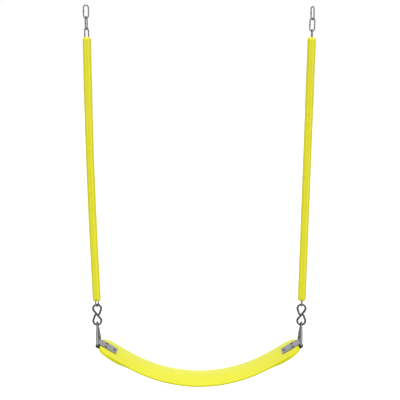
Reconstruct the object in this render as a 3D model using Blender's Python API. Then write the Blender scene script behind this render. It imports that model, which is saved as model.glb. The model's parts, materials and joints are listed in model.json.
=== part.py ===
"""Belt swing seat hung on two sleeved chains.

Frame: metres, +Z up, origin under the middle of the belt (its lowest point),
X across the swing from the left chain to the right one, Y front to back
(the front edge of the belt is at -Y). Lengths below are in millimetres and
are turned into metres when a mesh or a pivot is made.
"""

import math

import bmesh
import bpy
from mathutils import Vector

MM = 0.001
SIDES = {"left": -1.0, "right": 1.0}  # sign of X

# ---- belt -----------------------------------------------------------------
BELT_WIDTH = 150.0  # front to back
BELT_THICK = 6.0
END_THICK = 11.0  # the underside swells to this under the brackets
SWELL = (210.0, 244.0)  # X where it starts and where it is full
SAG_UNIT = 100.0  # top surface height = BELT_THICK + SAG_2 u^2 + SAG_4 u^4, u = X / SAG_UNIT
SAG_2 = 12.196
SAG_4 = 0.10676
SAG_TO = 228.0  # the belt runs straight to its bracket from here out
SHOULDER = 44.0  # how far in from each end its rounded shoulders start
SHOULDER_ANGLES = (0, 9, 20, 33, 47, 61, 75, 90)  # stations round a shoulder, from the end in
END_HALF = 31.0  # half the belt's width at its very end
BELT_EDGE = 1.3  # chamfer along the edges
BELT_FROM_BAR = 9.0  # gap between the triangle's bar axis and the belt's end
SWELL_STATIONS = (252.0, 244.0, 238.0, 232.5, 227.0, 221.5, 216.0, 210.0)  # X
MIDDLE_TO = 198.0  # evenly spaced stations run from here to the middle
MIDDLE_STEPS = 15
# ---- end bracket: one strap folded round the triangle's bar ----------------
BAR_X = 307.0  # axis of the triangle's bottom bar
BRACKET_HALF = 29.5  # half its width, along Y
STRAP = 2.5  # strap thickness
LEAF_END = 60.0  # leaf length from the bar's axis
LEAF_CORNER = (2.6, 2.4)  # cut off the leaf's corners, along it and across it
LEAF_RECESS = 1.2  # how deep each leaf is let into the belt
LEAF_GAP = 0.3  # between a leaf and its recess floor
KNUCKLE_R = 4.7  # inside radius of the fold
FOLD_EASE = 1.01  # the fold's inner points stand this much further out
FOLD_STEPS = 12
# heights off the belt's mid-plane
RECESS_FLOOR = END_THICK / 2 - LEAF_RECESS
LEAF_INNER = RECESS_FLOOR + LEAF_GAP
LEAF_OUTER = LEAF_INNER + STRAP
# the cutter for one recess
RECESS_SIDE_GAP = 0.6
RECESS_END_GAP = 0.7
RECESS_CORNER_BACK = 2.0  # its corners start this far short of the leaf's end
RECESS_START = -12.0  # along the leaf, clear of the belt's end
RECESS_CLEAR = 20.0  # its far face, clear of the belt
# ---- rivets ----------------------------------------------------------------
RIVETS = {  # along the leaf from the bar's axis, across it
    "rear": (23.0, 17.5),
    "front": (23.0, -17.5),
    "inner": (51.3, 0.0),
}
RIVET_R = 3.0
RIVET_HEAD_R = 4.5
RIVET_HOLE_GAP = 0.3  # round the shank
RIVET_HOLE_HALF = 14.0  # half the length of the hole's cutter
RIVET_HEAD_AT = LEAF_OUTER + 0.2  # underside of the head, off the belt's mid-plane
RIVET_PROFILE = (  # radius, height off the belt's mid-plane
    (1.6, -RIVET_HEAD_AT - 1.7), (3.4, -RIVET_HEAD_AT - 1.2), (4.1, -RIVET_HEAD_AT),
    (RIVET_R, -RIVET_HEAD_AT), (RIVET_R, RIVET_HEAD_AT),
    (RIVET_HEAD_R, RIVET_HEAD_AT), (4.2, RIVET_HEAD_AT + 0.9),
    (2.4, RIVET_HEAD_AT + 1.8), (0.9, RIVET_HEAD_AT + 2.0),
)
RIVET_SIDES = 12
# ---- triangle --------------------------------------------------------------
TRI_CORNER_R = 5.0  # centreline radius of the bottom bends
TRI_HALF = 36.0  # centreline half width at the bar
APEX_R = 7.9  # centreline radius of the top bend, about the hook's wire
# half thicknesses of the wire: in the triangle's plane, across it
BAR_HALVES = (3.5, 3.5)
LEG_HALVES = (3.1, 3.9)
NECK_HALVES = (2.9, 2.9)
BAR_TO = TRI_CORNER_R * 0.6  # height above the bar's axis where the legs take over
NECK_FROM = 0.72  # share of the height where the neck takes over
LEG_STATIONS = (0.12, 0.82)  # shares of a leg's straight run
# ---- S-hook ----------------------------------------------------------------
HOOK_WIRE_R = 3.1
HOOK_LOOP_R = 12.2  # centreline radius of both loops
HOOK_HALF = 31.5  # centreline half height
HOOK_LOW = (310.6, 171.6)  # axis of the wire in the lower loop, X and Z
HOOK_TOP = (310.9, 234.7)  # axis of the wire in the upper loop
HOOK_TIP = ((6.2, 1.65), (9.9, 7.6))  # upper free end, from the hook's centre: across, up
HOOK_ARC_FROM = -26  # degrees, where the tip joins the loop
HOOK_BLUNT = 2.2  # length of the rounded ends
# ---- chain -----------------------------------------------------------------
WIRE_R = 2.0
LINK_WIDTH = 18.5
BEARING = 4.6  # wire axis to wire axis where two free links bear
BONDED = 2.9  # the same where two sleeved links are joined
SWING_Z = 1091.8  # the line both sides turn about
CHAIN_TOP_X = 332.0  # where the first two links bear on each other
# the line is the upper link's crown on the left, the lower link's on the right
CHAIN_TOP_Z = {"left": SWING_Z + BEARING / 2, "right": SWING_Z - BEARING / 2}
CHAIN_LOW = (310.9, 231.9)  # where the last link bears on the hook, X and Z
LAST_CROWN_DROP = 2.7  # from there down to the last link's wire axis
TOP_LINK_SPAN = 37.4  # first link, crown axis to crown axis
SLEEVED = range(4, 27)  # link numbers inside the sleeve, counted from the top
THIRD_LINK = SLEEVED.start - 1
LAST_LINK = SLEEVED.stop
YAW = {  # each free link's turn about the chain, 0 = its flat side to the front
    "left": {1: 0.0, 2: -61.5, THIRD_LINK: 47.5, LAST_LINK: 60.6},
    "right": {1: -60.0, 2: 12.0, THIRD_LINK: 90.0, LAST_LINK: 90.0},
}
FREE_DETAIL = {"sides": 10, "steps": 7}  # sides of the wire, steps round each bend
SLEEVED_DETAIL = {"sides": 6, "steps": 3}
# ---- sleeve ----------------------------------------------------------------
SLEEVE_TOP = 1036.2
SLEEVE_LOW = 247.1
SLEEVE_R = 12.25
SLEEVE_BORE_R = 10.3
SLEEVE_BOW = {"left": 4.0, "right": 0.0}  # how far the middle stands outward
SLEEVE_RIM = ((0.0, -1.5), (1.2, -0.85), (3.0, -0.3), (5.5, 0.0))  # from the end, radius change
SLEEVE_SIDES = 20
SLEEVE_SPANS = 11  # equal lengths along it

FINISHES = {  # base colour, roughness, metallic
    "yellow_belt": ((0.90, 0.86, 0.01), 0.45, 0.0),
    "yellow_sleeve": ((0.88, 0.84, 0.02), 0.30, 0.0),
    "zinc_wire": ((0.45, 0.46, 0.47), 0.35, 1.0),
    "zinc_strap": ((0.52, 0.52, 0.55), 0.40, 1.0),
    "rivet_steel": ((0.40, 0.40, 0.42), 0.35, 1.0),
}
SHARP_ANGLE = math.radians(40)


# ---------------------------------------------------------------------------
# scene helpers
# ---------------------------------------------------------------------------
def clear():
    for obj in list(bpy.data.objects):
        bpy.data.objects.remove(obj, do_unlink=True)


def material(name):
    found = bpy.data.materials.get(name)
    if found:
        return found
    colour, roughness, metallic = FINISHES[name]
    made = bpy.data.materials.new(name)
    made.use_nodes = True
    shader = made.node_tree.nodes["Principled BSDF"]
    shader.inputs["Base Color"].default_value = (*colour, 1.0)
    shader.inputs["Roughness"].default_value = roughness
    shader.inputs["Metallic"].default_value = metallic
    made.diffuse_color = (*colour, 1.0)
    return made


def pivot(name, place, parent=None):
    """An empty on a joint's axis; place is in world millimetres."""
    made = bpy.data.objects.new(name, None)
    made.empty_display_size = 0.02
    bpy.context.scene.collection.objects.link(made)
    made["place"] = tuple(place)
    made.location = Vector(place) * MM
    if parent:
        made.parent = parent
        made.location = (Vector(place) - Vector(parent["place"])) * MM
    return made


def mesh_object(name, bm, parent):
    """A named object under a pivot, from a mesh built in world millimetres."""
    bmesh.ops.recalc_face_normals(bm, faces=bm.faces)
    if bm.calc_volume(signed=True) < 0:
        bmesh.ops.reverse_faces(bm, faces=bm.faces)
    bmesh.ops.translate(bm, verts=bm.verts, vec=-Vector(parent["place"]))
    bmesh.ops.scale(bm, verts=bm.verts, vec=(MM, MM, MM))
    mesh = bpy.data.meshes.new(name)
    bm.to_mesh(mesh)
    bm.free()
    obj = bpy.data.objects.new(name, mesh)
    bpy.context.scene.collection.objects.link(obj)
    obj.parent = parent
    return obj


def solid(name, bm, finish, parent):
    obj = mesh_object(name, bm, parent)
    obj.data.materials.append(material(finish))
    obj.data.shade_smooth()
    obj.data.set_sharp_from_angle(angle=SHARP_ANGLE)
    return obj


def helper(name, bm, parent):
    """An operand for a boolean, not rendered."""
    obj = mesh_object(name, bm, parent)
    obj.hide_render = True
    obj.display_type = "WIRE"
    return obj


def boolean(obj, operand, operation):
    made = obj.modifiers.new(operation.lower(), "BOOLEAN")
    made.operation = operation
    made.object = operand
    made.solver = "EXACT"


# ---------------------------------------------------------------------------
# shape helpers
# ---------------------------------------------------------------------------
def loft(bm, rings, closed=False):
    """Rings of points joined one to the next, capped unless closed."""
    made = [[bm.verts.new(point) for point in ring] for ring in rings]
    count = len(made[0])
    pairs = list(zip(made, made[1:])) + ([(made[-1], made[0])] if closed else [])
    for first, second in pairs:
        for i in range(count):
            j = (i + 1) % count
            bm.faces.new((first[i], first[j], second[j], second[i]))
    if not closed:
        bm.faces.new(made[0][::-1])
        bm.faces.new(made[-1])


def sweep(bm, path, place, halves, sides, blunt=0.0):
    """A round or oval bar along a flat path, closed on itself unless its ends
    are rounded over a length blunt. place(u, v, w) gives a world point from the
    path's own plane (u, v) and its normal w; halves holds the half thickness
    in the plane and across it at each point of the path."""

    def ring(at, along, in_plane, off_plane):
        outward = Vector((along.y, -along.x))
        points = []
        for k in range(sides):
            angle = 2 * math.pi * (k + 0.5) / sides
            offset = outward * (in_plane * math.cos(angle))
            points.append(place(at.x + offset.x, at.y + offset.y, off_plane * math.sin(angle)))
        return points

    if blunt:
        padded = [path[0] * 2 - path[1], *path, path[-1] * 2 - path[-2]]
    else:
        padded = [path[-1], *path, path[0]]
    stations = []
    for before, at, after, (in_plane, off_plane) in zip(padded, path, padded[2:], halves):
        arriving = (at - before).normalized()
        leaving = (after - at).normalized()
        along = (arriving + leaving).normalized()
        # the mitre keeps the bar's thickness through a bend
        stretch = 1.0 / max(0.5, along.dot(arriving))
        stations.append((at, along, in_plane * stretch, off_plane))
    rings = [ring(*station) for station in stations]
    if blunt:
        for share in (0.6, 0.95):
            reach = blunt * share
            shrink = math.sqrt(1 - share * share)
            at, along, in_plane, off_plane = stations[0]
            rings.insert(0, ring(at - along * reach, along, in_plane * shrink, off_plane * shrink))
            at, along, in_plane, off_plane = stations[-1]
            rings.append(ring(at + along * reach, along, in_plane * shrink, off_plane * shrink))
    loft(bm, rings, closed=not blunt)


def arc(centre, radius, start, stop, steps):
    """Points on a circle, angles in degrees, ends included."""
    points = []
    for k in range(steps + 1):
        angle = math.radians(start + (stop - start) * k / steps)
        x = centre[0] + radius * math.cos(angle)
        y = centre[1] + radius * math.sin(angle)
        points.append(Vector((x, y)))
    return points


# ---------------------------------------------------------------------------
# chain
# ---------------------------------------------------------------------------
def chain_axis(side):
    sign = SIDES[side]
    top = Vector((sign * CHAIN_TOP_X, 0.0, CHAIN_TOP_Z[side]))
    low = Vector((sign * CHAIN_LOW[0], 0.0, CHAIN_LOW[1]))
    return top, low


def on_chain(side, height):
    """A point on the chain's centreline at this height, with the sleeve's bow."""
    top, low = chain_axis(side)
    at = top.lerp(low, (top.z - height) / (top.z - low.z))
    down_sleeve = (SLEEVE_TOP - height) / (SLEEVE_TOP - SLEEVE_LOW)
    if 0.0 < down_sleeve < 1.0:
        at.x += SIDES[side] * SLEEVE_BOW[side] * math.sin(math.pi * down_sleeve)
    return at


def bearing_height(side, number):
    """Height where link number bears on the next one."""
    top, low = chain_axis(side)
    return top.z + (low.z - top.z) * (number - 1) / (LAST_LINK - 1)


def bearing_gap(number):
    """Wire axis to wire axis where link number bears on the next one."""
    return BONDED if number in SLEEVED and number + 1 in SLEEVED else BEARING


def link_ends(side, number):
    """Wire-axis points at the top and the bottom of one link."""
    if number == 1:
        low = chain_axis(side)[0] - Vector((0, 0, BEARING / 2))
        return low + Vector((0, 0, TOP_LINK_SPAN)), low
    high = bearing_height(side, number - 1) + bearing_gap(number - 1) / 2
    if number == LAST_LINK:
        low = CHAIN_LOW[1] - LAST_CROWN_DROP
    else:
        low = bearing_height(side, number) - bearing_gap(number) / 2
    return on_chain(side, high), on_chain(side, low)


def link(bm, side, number, yaw, sides, steps):
    """An oval link between its two wire-axis points, turned by yaw about the chain."""
    top, low = link_ends(side, number)
    up = (top - low).normalized()
    across = Vector((math.cos(math.radians(yaw)), math.sin(math.radians(yaw)), 0.0))
    across = (across - up * across.dot(up)).normalized()
    normal = across.cross(up)
    centre = (top + low) / 2
    # points sit a little outside the circle, so the flats average on it, and
    # the middle flat of each bend lies on the wire-axis point it was given
    flat_share = math.cos(math.pi / (2 * steps))
    radius = (LINK_WIDTH / 2 - WIRE_R) * 2 / (1 + flat_share)
    bend = (top - low).length / 2 - radius * flat_share
    path = arc((0.0, bend), radius, 0, 180, steps)
    path += arc((0.0, -bend), radius, 180, 360, steps)

    def place(u, v, w):
        return centre + across * u + up * v + normal * w

    sweep(bm, path, place, [(WIRE_R, WIRE_R)] * len(path), sides)


def free_link(side, number, name, parent):
    bm = bmesh.new()
    link(bm, side, number, YAW[side][number], **FREE_DETAIL)
    solid(f"{name}_link_{side}", bm, "zinc_wire", parent)


def sleeved_chain(side, parent):
    """The links hidden in the sleeve, joined where they bear."""
    first_yaw, last_yaw = YAW[side][THIRD_LINK], YAW[side][LAST_LINK]
    # the run turns evenly from the link above it to the one below it
    drift = (last_yaw - first_yaw + 90.0) % 180.0 - 90.0
    even, odd = bmesh.new(), bmesh.new()
    for number in SLEEVED:
        past = number - THIRD_LINK
        yaw = first_yaw + past * 90.0 + drift * past / (LAST_LINK - THIRD_LINK)
        link(odd if number % 2 else even, side, number, yaw, **SLEEVED_DETAIL)
    odd_links = helper("helper_links_" + side, odd, parent)
    run = solid("chain_in_sleeve_" + side, even, "zinc_wire", parent)
    boolean(run, odd_links, "UNION")


def sleeve(side, parent):
    """Soft tube over the chain, its rims rounded over."""

    def ring(height, radius):
        at = on_chain(side, height)
        up = (on_chain(side, height + 1.0) - on_chain(side, height - 1.0)).normalized()
        across = Vector((up.z, 0, -up.x))
        back = up.cross(across)
        points = []
        for k in range(SLEEVE_SIDES):
            angle = 2 * math.pi * k / SLEEVE_SIDES
            points.append(
                at + across * (radius * math.cos(angle)) + back * (radius * math.sin(angle))
            )
        return points

    length = SLEEVE_TOP - SLEEVE_LOW
    middle = [SLEEVE_TOP - length * k / SLEEVE_SPANS for k in range(1, SLEEVE_SPANS)]
    rings = [ring(SLEEVE_TOP - inset, SLEEVE_R + change) for inset, change in SLEEVE_RIM]
    rings += [ring(height, SLEEVE_R) for height in middle]
    rings += [ring(SLEEVE_LOW + inset, SLEEVE_R + change) for inset, change in SLEEVE_RIM[::-1]]
    # back up the bore
    rings += [ring(height, SLEEVE_BORE_R) for height in (SLEEVE_LOW, *middle[::-1], SLEEVE_TOP)]
    bm = bmesh.new()
    loft(bm, rings, closed=True)
    solid("sleeve_" + side, bm, "yellow_sleeve", parent)


# ---------------------------------------------------------------------------
# S-hook
# ---------------------------------------------------------------------------
def hook(side, parent):
    sign = SIDES[side]
    loop_centre = HOOK_HALF - HOOK_LOOP_R
    lean = math.degrees(math.asin(HOOK_LOOP_R / loop_centre))
    # upper loop: from its free end, round over the top, to the crossing bar
    upper = [Vector(point) for point in HOOK_TIP]
    upper += arc((0.0, loop_centre), HOOK_LOOP_R, HOOK_ARC_FROM, 180 + lean, 12)
    path = upper + [-point for point in reversed(upper)]
    top = Vector((sign * HOOK_TOP[0], 0, HOOK_TOP[1]))
    low = Vector((sign * HOOK_LOW[0], 0, HOOK_LOW[1]))
    up = (top - low).normalized()
    across = Vector((up.z, 0, -up.x))
    centre = (top + low) / 2

    def place(u, v, w):
        return centre + across * (u * -sign) + up * v + Vector((0, w, 0))

    bm = bmesh.new()
    halves = [(HOOK_WIRE_R, HOOK_WIRE_R)] * len(path)
    sweep(bm, path, place, halves, sides=10, blunt=HOOK_BLUNT)
    solid("s_hook_" + side, bm, "zinc_wire", parent)


# ---------------------------------------------------------------------------
# belt line, shared by the belt, the brackets, the rivets and the triangles
# ---------------------------------------------------------------------------
def belt_slope(x):
    """Steepness of the belt at this distance from the middle, always positive."""
    u = min(abs(x), SAG_TO) / SAG_UNIT
    return (2 * SAG_2 * u + 4 * SAG_4 * u**3) / SAG_UNIT


def belt_top(x):
    near = min(abs(x), SAG_TO)
    u = near / SAG_UNIT
    height = BELT_THICK + SAG_2 * u**2 + SAG_4 * u**4
    return height + (abs(x) - near) * belt_slope(SAG_TO)


def belt_thick(x):
    share = min(1.0, max(0.0, (abs(x) - SWELL[0]) / (SWELL[1] - SWELL[0])))
    return BELT_THICK + (END_THICK - BELT_THICK) * share * share * (3 - 2 * share)


END_SLOPE = math.atan(belt_slope(SAG_TO))
BAR_Z = belt_top(BAR_X) - (END_THICK / 2) / math.cos(END_SLOPE)


def bar_point(side):
    """The middle of the bar's axis, on the belt's mid-plane."""
    return Vector((SIDES[side] * BAR_X, 0, BAR_Z))


def in_end(side, along, across, up):
    """A point measured from the bar: in along the belt, along Y, up off the belt."""
    sign = SIDES[side]
    inward = Vector((-sign * math.cos(END_SLOPE), 0, -math.sin(END_SLOPE)))
    off_belt = Vector((-sign * math.sin(END_SLOPE), 0, math.cos(END_SLOPE)))
    return bar_point(side) + inward * along + Vector((0, across, 0)) + off_belt * up


def rivet_ring(side, centre, radius, up, turn):
    """A ring about a rivet's axis, turned by a share of one of its sides."""
    along, across = centre
    angles = [2 * math.pi * (k + turn) / RIVET_SIDES for k in range(RIVET_SIDES)]
    return [
        in_end(side, along + radius * math.cos(angle), across + radius * math.sin(angle), up)
        for angle in angles
    ]


# ---------------------------------------------------------------------------
# belt, brackets, rivets
# ---------------------------------------------------------------------------
def belt_stations():
    """X and half width along the belt, from the right end to the left."""
    half = BELT_WIDTH / 2
    end_x = BAR_X - BELT_FROM_BAR * math.cos(END_SLOPE)
    right = []
    for angle in SHOULDER_ANGLES:
        along = SHOULDER * (1 - math.cos(math.radians(angle)))
        width = END_HALF + (half - END_HALF) * math.sin(math.radians(angle))
        right.append((end_x - along * math.cos(END_SLOPE), width))
    right += [(x, half) for x in SWELL_STATIONS]
    right += [(MIDDLE_TO * k / MIDDLE_STEPS, half) for k in range(MIDDLE_STEPS, 0, -1)]
    return right + [(0.0, half)] + [(-x, width) for x, width in reversed(right)]


def belt(parent):
    """One bent sheet: a chamfered cross-section carried along the sag."""
    rings = []
    for x, half in belt_stations():
        thick = belt_thick(x) / 2
        slope = math.copysign(math.atan(belt_slope(x)), x)
        up = Vector((-math.sin(slope), 0, math.cos(slope)))
        middle = Vector((x, 0, belt_top(x))) - up * thick
        flat = half - BELT_EDGE
        side_face = thick - BELT_EDGE
        section = (  # Y, height off the mid-plane
            (-flat, thick), (flat, thick), (half, side_face), (half, -side_face),
            (flat, -thick), (-flat, -thick), (-half, -side_face), (-half, side_face),
        )
        rings.append([middle + up * height + Vector((0, y, 0)) for y, height in section])
    bm = bmesh.new()
    loft(bm, rings)
    made = solid("belt_seat", bm, "yellow_belt", parent)
    for side in SIDES:
        boolean(made, recess_cutter(side, parent), "DIFFERENCE")


def rivet_cutter(side, parent):
    """Rivet holes; the belt and the bracket each get their own copy."""
    # the flats, not the corners, lie on the hole's radius
    radius = (RIVET_R + RIVET_HOLE_GAP) / math.cos(math.pi / RIVET_SIDES)
    bm = bmesh.new()
    for centre in RIVETS.values():
        heights = (-RIVET_HOLE_HALF, RIVET_HOLE_HALF)
        loft(bm, [rivet_ring(side, centre, radius, up, turn=0.0) for up in heights])
    return helper("helper_rivet_holes_" + side, bm, parent)


def recess_cutter(side, parent):
    """The rivet holes and the recesses for both leaves, as one helper."""
    half = BRACKET_HALF + RECESS_SIDE_GAP
    corner = half - LEAF_CORNER[1]
    end = LEAF_END + RECESS_END_GAP
    corner_start = LEAF_END - RECESS_CORNER_BACK
    outline = (  # along the leaf, across it
        (RECESS_START, -half), (corner_start, -half), (end, -corner),
        (end, corner), (corner_start, half), (RECESS_START, half),
    )
    bm = bmesh.new()
    for way in (1.0, -1.0):
        heights = (RECESS_FLOOR * way, RECESS_CLEAR * way)
        loft(bm, [[in_end(side, a, b, up) for a, b in outline] for up in heights])
    recess = helper("helper_recess_" + side, bm, parent)
    boolean(recess, rivet_cutter(side, parent), "UNION")
    return recess


def bracket(side, parent):
    """Top leaf, fold round the bar and bottom leaf, from one strap."""
    outer_r = KNUCKLE_R + STRAP
    outer_from = math.degrees(math.asin(LEAF_OUTER / outer_r))
    inner_from = math.degrees(math.asin(LEAF_INNER / KNUCKLE_R))
    outer = arc((0, 0), outer_r, outer_from, 360 - outer_from, FOLD_STEPS)
    inner = arc((0, 0), KNUCKLE_R * FOLD_EASE, 360 - inner_from, inner_from, FOLD_STEPS)
    corner_y = BRACKET_HALF - LEAF_CORNER[1]
    corner_end = LEAF_END - LEAF_CORNER[0]
    stations = (  # Y, where the leaves stop
        (-BRACKET_HALF, corner_end), (-corner_y, LEAF_END),
        (corner_y, LEAF_END), (BRACKET_HALF, corner_end),
    )
    rings = []
    for y, end in stations:
        profile = [
            (end, LEAF_OUTER), *outer, (end, -LEAF_OUTER),
            (end, -LEAF_INNER), *inner, (end, LEAF_INNER),
        ]
        rings.append([in_end(side, along, y, up) for along, up in profile])
    bm = bmesh.new()
    loft(bm, rings)
    made = solid("end_bracket_" + side, bm, "zinc_strap", parent)
    boolean(made, rivet_cutter(side, parent), "DIFFERENCE")


def rivet(side, place, parent):
    bm = bmesh.new()
    centre = RIVETS[place]
    loft(bm, [rivet_ring(side, centre, radius, up, turn=0.5) for radius, up in RIVET_PROFILE])
    solid(f"rivet_{side}_{place}", bm, "rivet_steel", parent)


# ---------------------------------------------------------------------------
# triangle
# ---------------------------------------------------------------------------
def triangle(side, parent):
    """Closed bar: round where it turns in the bracket, oval in its legs,
    and necked where it hangs in the hook."""
    bar = bar_point(side)
    apex = Vector((SIDES[side] * HOOK_LOW[0], 0, HOOK_LOW[1]))
    up = (apex - bar).normalized()
    height = (apex - bar).length
    normal = up.cross(Vector((0, 1, 0)))
    corner = Vector((TRI_HALF - TRI_CORNER_R, TRI_CORNER_R))
    top = Vector((0.0, height))
    way = top - corner
    # the leg is the tangent common to the bottom bend and the top bend
    tangent_turn = math.asin((TRI_CORNER_R - APEX_R) / way.length)
    leg_angle = math.degrees(math.atan2(way.y, way.x) - math.pi / 2 + tangent_turn)
    right = arc(corner, TRI_CORNER_R, -90, leg_angle, 5)
    cap = arc(top, APEX_R, leg_angle, 180 - leg_angle, 8)
    leg_start = right[-1]
    right += [leg_start.lerp(cap[0], share) for share in LEG_STATIONS]
    path = right + cap + [Vector((-point.x, point.y)) for point in reversed(right)]
    halves = []
    for point in path:
        if point.y < BAR_TO:
            halves.append(BAR_HALVES)
        elif point.y / height < NECK_FROM:
            halves.append(LEG_HALVES)
        else:
            halves.append(NECK_HALVES)

    def place(u, v, w):
        return bar + Vector((0, u, 0)) + up * v + normal * w

    bm = bmesh.new()
    sweep(bm, path, place, halves, sides=12)
    solid("triangle_" + side, bm, "zinc_wire", parent)


# ---------------------------------------------------------------------------
# assembly
# ---------------------------------------------------------------------------
def hanger(side, hangers):
    """One chain and its hook; returns the pivot at the hook's upper loop."""
    # each side turns about a crown that lies along the axis: the upper
    # link's crown on the left, the lower link's on the right
    if side == "left":
        swing_at, sway_at = link_ends(side, 1)[1], link_ends(side, 2)[1]
    else:
        swing_at, sway_at = link_ends(side, 2)[0], link_ends(side, THIRD_LINK)[0]
    free_link(side, 1, "top", hangers)
    swing = pivot("swing_axis_" + side, swing_at, hangers)
    free_link(side, 2, "second", swing)
    sway = pivot("sway_axis_" + side, sway_at, swing)
    free_link(side, THIRD_LINK, "third", sway)
    sleeved_chain(side, sway)
    sleeve(side, sway)
    free_link(side, LAST_LINK, "last", sway)
    hook_axis = pivot("hook_axis_" + side, link_ends(side, LAST_LINK)[1], sway)
    hook(side, hook_axis)
    return hook_axis


def build():
    clear()
    hangers = pivot("hangers", (0, 0, CHAIN_TOP_Z["left"]))
    hook_axes = {side: hanger(side, hangers) for side in SIDES}
    # the seat is carried by the left hook
    seat_at = (SIDES["left"] * HOOK_LOW[0], 0, HOOK_LOW[1])
    seat = pivot("seat_axis", seat_at, hook_axes["left"])
    belt(seat)
    for side in SIDES:
        bracket(side, seat)
        for place in RIVETS:
            rivet(side, place, seat)
        knuckle = pivot("knuckle_axis_" + side, bar_point(side), seat)
        triangle(side, knuckle)


build()
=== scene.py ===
"""Looks of the belt swing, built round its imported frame.

A bent belt seat hangs from two chains, each in a soft sleeve. Below the sleeve
come an S-hook, a triangle and a riveted strap bracket on the belt's end.
Every piece is placed from the frame's joints and node boxes. Lengths are in
millimetres until a mesh is made, and the frame is +Z up, +X to the right
chain, +Y to the back of the seat. Materials, lights and camera are in metres.
"""

import json
import math

import bmesh
import bpy
import numpy as np
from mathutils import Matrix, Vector

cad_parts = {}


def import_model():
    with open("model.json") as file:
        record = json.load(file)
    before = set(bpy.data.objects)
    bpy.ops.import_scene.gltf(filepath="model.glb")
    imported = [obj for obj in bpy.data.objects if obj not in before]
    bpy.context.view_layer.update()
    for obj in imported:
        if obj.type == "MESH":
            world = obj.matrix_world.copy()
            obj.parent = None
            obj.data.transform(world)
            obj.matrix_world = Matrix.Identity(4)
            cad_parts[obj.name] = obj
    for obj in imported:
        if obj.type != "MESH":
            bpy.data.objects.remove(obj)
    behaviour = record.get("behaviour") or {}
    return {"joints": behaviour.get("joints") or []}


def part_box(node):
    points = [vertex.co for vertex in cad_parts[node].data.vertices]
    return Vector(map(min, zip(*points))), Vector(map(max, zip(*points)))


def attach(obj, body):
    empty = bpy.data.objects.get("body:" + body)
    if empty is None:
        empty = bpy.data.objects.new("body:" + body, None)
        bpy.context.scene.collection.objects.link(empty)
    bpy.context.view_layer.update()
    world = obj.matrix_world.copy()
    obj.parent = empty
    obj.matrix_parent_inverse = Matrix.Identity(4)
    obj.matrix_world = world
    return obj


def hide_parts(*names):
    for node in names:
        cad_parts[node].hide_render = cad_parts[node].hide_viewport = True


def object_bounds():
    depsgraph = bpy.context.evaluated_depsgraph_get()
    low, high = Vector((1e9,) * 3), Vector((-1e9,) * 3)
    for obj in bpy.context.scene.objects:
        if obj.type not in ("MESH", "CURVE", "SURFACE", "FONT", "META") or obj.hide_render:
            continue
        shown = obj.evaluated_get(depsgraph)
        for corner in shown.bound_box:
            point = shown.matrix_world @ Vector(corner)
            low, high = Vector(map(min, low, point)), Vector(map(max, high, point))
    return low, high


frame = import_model()
CAD_BOX = [list(v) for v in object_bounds()]

MM = 0.001
SIDES = {"left": -1.0, "right": 1.0}
JOINT = {j["name"]: np.array(j["pos_m"], float) / MM for j in frame["joints"]}


def node_box(node):
    low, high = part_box(node)
    return np.array(low, float) / MM, np.array(high, float) / MM


def unit(v):
    v = np.asarray(v, float)
    return v / np.linalg.norm(v)


def ease(x, low, high):
    """0 at low, 1 at high, smooth between."""
    share = np.clip((np.asarray(x, float) - low) / (high - low), 0.0, 1.0)
    return share * share * (3 - 2 * share)


# ---------------------------------------------------------------------------
# sizes that several parts share
# ---------------------------------------------------------------------------
STRAP = 2.5  # thickness of the bracket's sheet
LEAF_RECESS = 1.2  # depth of the belt's pocket for a leaf
BELT_TO_BAR = 9.0  # from the triangle's bar to the belt's end, along the belt
BRACKET_HALF = 29.5

# The belt's top surface stands BELT_THICK above the lowest point of its box in
# the middle, follows a sag of the second and fourth power of X (X in units of
# 100 mm) as far as SAG_TO, and runs on straight.
BELT_LOW, BELT_HIGH = node_box("belt_seat")
BELT_HALF = (BELT_HIGH[1] - BELT_LOW[1]) / 2
BELT_THICK = 6.0
END_THICK = 11.0
SAG_2, SAG_4, SAG_TO = 12.196, 0.10676, 228.0

BAR = {side: JOINT["triangle_turn_" + side] for side in SIDES}
BAR_X = abs(BAR["right"][0])
SEAT_PITCH = JOINT["seat_pitch"]
HOOK_LOW = {
    side: np.array((sign * abs(SEAT_PITCH[0]), 0.0, SEAT_PITCH[2]))
    for side, sign in SIDES.items()
}


def belt_slope(x):
    x = np.minimum(np.abs(x), SAG_TO) / 100.0
    return (2 * SAG_2 * x + 4 * SAG_4 * x**3) / 100.0


def belt_top(x):
    near = np.minimum(np.abs(x), SAG_TO)
    height = BELT_LOW[2] + BELT_THICK
    height = height + SAG_2 * (near / 100) ** 2 + SAG_4 * (near / 100) ** 4
    return height + (np.abs(x) - near) * belt_slope(SAG_TO)


def belt_thick(x):
    return BELT_THICK + (END_THICK - BELT_THICK) * float(ease(abs(x), 210.0, 244.0))


END_SLOPE = math.atan(belt_slope(SAG_TO))
# faces of both leaves, measured from the belt's mid-plane
LEAF_LOW = END_THICK / 2 - LEAF_RECESS + 0.3
LEAF_MID = LEAF_LOW + STRAP / 2
LEAF_HIGH = LEAF_LOW + STRAP


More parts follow.
